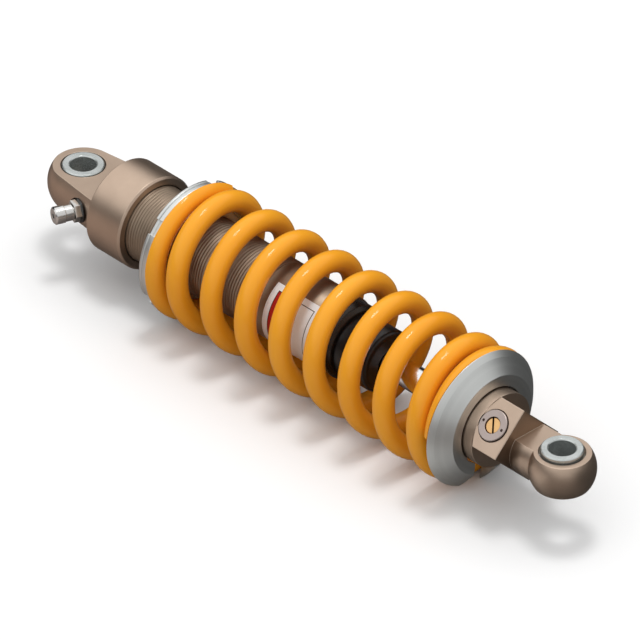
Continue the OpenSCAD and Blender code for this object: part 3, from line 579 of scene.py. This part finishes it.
# %% Brass
slot_top = 0.0168
t, shader, colour, edge_wear_and_highlight = grained(
    "brass", "turned_brass", (0.72, 0.42, 0.17), (0.83, 0.52, 0.24), (0.26, 0.36),
    size=0.00018, radius=0.00015, wear=1.0, edge=(0.95, 0.72, 0.42), Metallic=1.0,
)
place = t.place()
height = t.math("MULTIPLY", t.math("SUBTRACT", place["Z"], place["Y"]), math.sqrt(0.5))
slot_painted_shade = t.math("LESS_THAN", height, slot_top)
t.feed(shader, "Base_Color", t.blend(slot_painted_shade, colour, (0.05, 0.03, 0.015, 1)))
print("slot dark below", round(slot_top * 1000, 1), "mm")

# %% [markdown]
# The spring seat, the preload rings and the pistons are turned from aluminium and keep the marks of the
# tool. An anisotropic shader would stretch their highlights, but it needs tangents that the solids don't
# have. The lathe group gives the same rings with shade, roughness and a little relief.

# %% Turned aluminium
material, t, shader = finish("turned_aluminium", Metallic=1.0)
edges = use(t, edge_group, Radius=0.0004, Wear=2.4)
lathe = use(t, lathe_group, Spacing=0.00022, Stray=1.0)
colour = shades(t, lathe["Shade"], (0.66, 0.675, 0.66), (0.74, 0.755, 0.74))
# Rubbed metal and a painted highlight: the edges turn near white.
t.feed(shader, "Base_Color", t.blend(edges["Edge"], colour, (0.93, 0.94, 0.93, 1)))
t.feed(shader, "Roughness", spread(t, lathe["Height"], 0.30, 0.42))
relief(t, shader, lathe["Height"], 0.15, 0.00004, Normal=edges["Normal"])
finishes["bare_aluminium"] = material
print("finish", material.name)

# %% [markdown]
# The gas valve is nickel plated, which is warmer and softer than chrome. The rod is ground and hard
# chromed, so it mirrors the coils around it, with only faint bands left from grinding.

# %% Bright nickel and hard chrome
material, t, shader = finish("bright_nickel", Metallic=1.0)
edges = use(t, edge_group, Radius=0.0002, Wear=0.5)
grain = use(t, grain_group, Size=0.0004)
t.feed(shader, "Base_Color", t.blend(edges["Edge"], (0.72, 0.71, 0.69, 1), (0.92, 0.92, 0.9, 1)))
t.feed(shader, "Roughness", spread(t, grain["Cloud"], 0.12, 0.22))
t.feed(shader, "Normal", edges["Normal"])
finishes["nickel_plated"] = material
print("finish", material.name)

material, t, shader = finish("hard_chrome", Metallic=1.0)
lathe = use(t, lathe_group, Spacing=0.0001, Stray=1.0)
t.feed(shader, "Base_Color", shades(t, lathe["Shade"], (0.80, 0.81, 0.83), (0.86, 0.87, 0.89)))
t.feed(shader, "Roughness", spread(t, lathe["Shade"], 0.05, 0.1))
finishes["rod_chrome"] = material
print("finish", material.name)

# %% [markdown]
# The spring is powder coated: a thick yellow layer with a thin clear skin. The body of the coat scatters
# nearly all of its light, and the coat layer on top carries the narrow streaks. One rougher shine for
# both would make the coils look like wax.

# %% Yellow powder coat
material, t, shader = finish(
    "yellow_powder_coat", Metallic=0.0, Specular_IOR_Level=0.1, Coat_Weight=0.4, Coat_Roughness=0.06
)
grain = use(t, grain_group, Size=0.0011)
t.feed(shader, "Base_Color", shades(t, grain["Cloud"], (0.95, 0.375, 0.018), (0.99, 0.425, 0.026)))
t.feed(shader, "Roughness", spread(t, grain["Height"], 0.3, 0.38))
relief(t, shader, grain["Height"], 0.12, 0.00006)
finishes["spring_paint"] = material
print("finish", material.name)

# %% [markdown]
# The print on the film follows its UV map, in millimetres. A thin black frame line runs inside the film's
# edge, and the first part of the field inside it is red. An image could hold the print, but three
# distances draw it sharp at any size.

# %% Printed film
line_inset, line_half_width, red_until = 3.3, 0.2, 9.5
film_length, film_height = label_length * 1000, label_arc * film_top * 1000
material, t, shader = finish("printed_film", Metallic=0.0, Coat_Weight=0.4, Coat_Roughness=0.1)
spot = t.add("SeparateXYZ", _0=t.add("UVMap", {"uv_map": "millimetres"}).outputs[0]).outputs
from_ends = t.math("MINIMUM", spot["X"], t.math("SUBTRACT", film_length, spot["X"]))
from_sides = t.math("MINIMUM", spot["Y"], t.math("SUBTRACT", film_height, spot["Y"]))
from_edge = t.math("MINIMUM", from_ends, from_sides)
line = t.math("COMPARE", from_edge, line_inset)
line.node.inputs[2].default_value = line_half_width
inside = t.math("GREATER_THAN", from_edge, line_inset)
red_part = t.math("MULTIPLY", inside, t.math("LESS_THAN", spot["X"], red_until))
grain = use(t, grain_group, Size=0.0004)
# Painted light: the white field is tinted blue, against the orange light that the coils throw on it.
paper_with_painted_light = shades(t, grain["Cloud"], (0.84, 0.90, 0.93), (0.90, 0.95, 0.97))
colour = t.blend(red_part, paper_with_painted_light, (0.42, 0.012, 0.014, 1))
t.feed(shader, "Base_Color", t.blend(line, colour, (0.01, 0.01, 0.01, 1)))
t.feed(shader, "Roughness", spread(t, grain["Height"], 0.28, 0.36))
finishes["label_film"] = material
print("film of", round(film_length, 1), "by", round(film_height, 1), "mm")

# %% [markdown]
# Each solid carries a slot that says what it is made of. The slots could be filled one by one, but going
# through the record makes sure that none is left bare.

# %% Give every solid and every new piece its finish
for entry in frame["record"]["subparts"]:
    solid = nodes[entry["node"]]
    for slot in solid.material_slots:
        slot.material = finishes[entry["material_slot"]]
for piece, slot_name in ((spring, "spring_paint"), (tube, "tube_anodised"), (film, "label_film")):
    piece.data.materials.append(finishes[slot_name])

# %% [markdown]
# ## Floor and light
# The photograph stands on pure white. A large pale floor carries a faint shadow. The metal mirrors the
# ground too, and in the photograph it mirrors something darker: dark behind, mid grey in front and
# lightest before the spring seat. A second floor could stand in for that, but here the same floor has one
# colour for the camera and another for all other rays.

# %% Floor


def flat_floor(side=6.0, level=-0.0328, steps=3):
    """A square grid of points at one level."""
    line = np.linspace(-side / 2, side / 2, steps)
    x, y = np.meshgrid(line, line, indexing="ij")
    points = np.stack([x, y, np.full_like(x, level)], axis=-1).reshape(-1, 3)
    a = (np.arange(steps - 1)[:, None] * steps + np.arange(steps - 1)[None, :]).ravel()
    faces = np.stack([a, a + steps, a + steps + 1, a + 1], axis=-1)
    mesh = bpy.data.meshes.new("floor")
    mesh.from_pydata(points.tolist(), [], faces.tolist())
    return mesh


floor = bpy.data.objects.new("floor", flat_floor())
bpy.context.scene.collection.objects.link(floor)
material, t, shader = finish("pale_floor", Roughness=0.9, Specular_IOR_Level=0.1)
place = t.place()
near = t.blend(t.ramp(place["X"], 0.0, 0.25), (0.40, 0.335, 0.305, 1), (0.58, 0.57, 0.56, 1))
near = t.blend(t.ramp(place["X"], 0.265, 0.31), near, (0.22, 0.20, 0.19, 1))
graded = t.blend(t.ramp(place["Y"], -0.06, 0.03), near, (0.06, 0.06, 0.06, 1))
in_view = t.add("LightPath").outputs["Is Camera Ray"]
t.feed(shader, "Base_Color", t.blend(in_view, graded, (0.97, 0.97, 0.97, 1)))
floor.data.materials.append(material)
print("floor at", min(corner[2] for corner in floor.bound_box))

# %% [markdown]
# The streaks on the coils mirror one soft lamp straight overhead. The long highlights on the metal mirror
# a wide bright sky, which ends in a soft edge well above the ground. More lamps could build that sky, but
# their edges would show, and a graded surround has none.

# %% Lamp


def soft_lamp(name, place, size, watts, aim=(0.15, 0.0, 0.0)):
    """A square lamp that looks at the shock absorber."""
    light = bpy.data.lights.new(name, "AREA")
    light.shape = "SQUARE"
    light.size = size
    light.energy = watts
    lamp = bpy.data.objects.new(name, light)
    bpy.context.scene.collection.objects.link(lamp)
    away = np.array(place) - np.array(aim)
    away = away / np.linalg.norm(away)
    side = np.cross([0.0, 1.0, 0.0], away)
    side = side / np.linalg.norm(side)
    pose = np.eye(4)
    pose[:3, 0], pose[:3, 1], pose[:3, 2] = side, np.cross(away, side), away
    pose[:3, 3] = place
    lamp.matrix_world = pose.T.tolist()
    return lamp


overhead = soft_lamp("overhead", (0.06, 0.24, 1.75), 0.42, 8.0)
print(overhead.name, "lamp of", overhead.data.energy, "W")

# %% [markdown]
# The sky's edge lies a little lower on the right and higher behind, and the sky is dimmer on the right.
# Below it, a faint light comes from the front and mostly from the right, as from a far wall. The camera
# itself sees plain white, so the picture's background stays clean.

# %% Surroundings
sky_edge, lean_right, lean_back = (0.2, 0.52), 0.12, 0.1
sky_left, sky_loss_right = 1.12, 0.35
wall_left, wall_gain_right, side_light, least_light = 0.11, 0.5, 0.1, 0.02

world = bpy.data.worlds.new("studio")
world.use_nodes = True
bpy.context.scene.world = world
t = Tree(world.node_tree)
surround = world.node_tree.nodes["Background"]
way = t.place("Generated")
height = t.math("SUBTRACT", way["Z"], t.math("MULTIPLY", way["Y"], lean_back))
height = t.math("ADD", height, t.math("MULTIPLY", way["X"], lean_right))
right_side = t.ramp(way["X"], -0.2, 0.8, smooth)
front = t.ramp(way["Y"], 0.3, -0.7, smooth)
brightness = t.math("SUBTRACT", sky_left, t.math("MULTIPLY", right_side, sky_loss_right))
sky = t.math("MULTIPLY", t.ramp(height, *sky_edge, smooth), brightness)
wall = t.math("ADD", wall_left, t.math("MULTIPLY", right_side, wall_gain_right))
wall = t.math("MULTIPLY", front, wall)
wall = t.math("ADD", wall, t.math("MULTIPLY", right_side, side_light))
glow = t.math("MAXIMUM", sky, t.math("ADD", wall, least_light))
seen = t.add("LightPath").outputs["Is Camera Ray"]
t.feed(surround, "Color", (1.0, 1.0, 1.0, 1.0))
t.feed(surround, "Strength", t.math("MAXIMUM", glow, seen))
bpy.context.scene.view_settings.view_transform = "Standard"
print("sky from", sky_edge[0], "to", sky_edge[1])
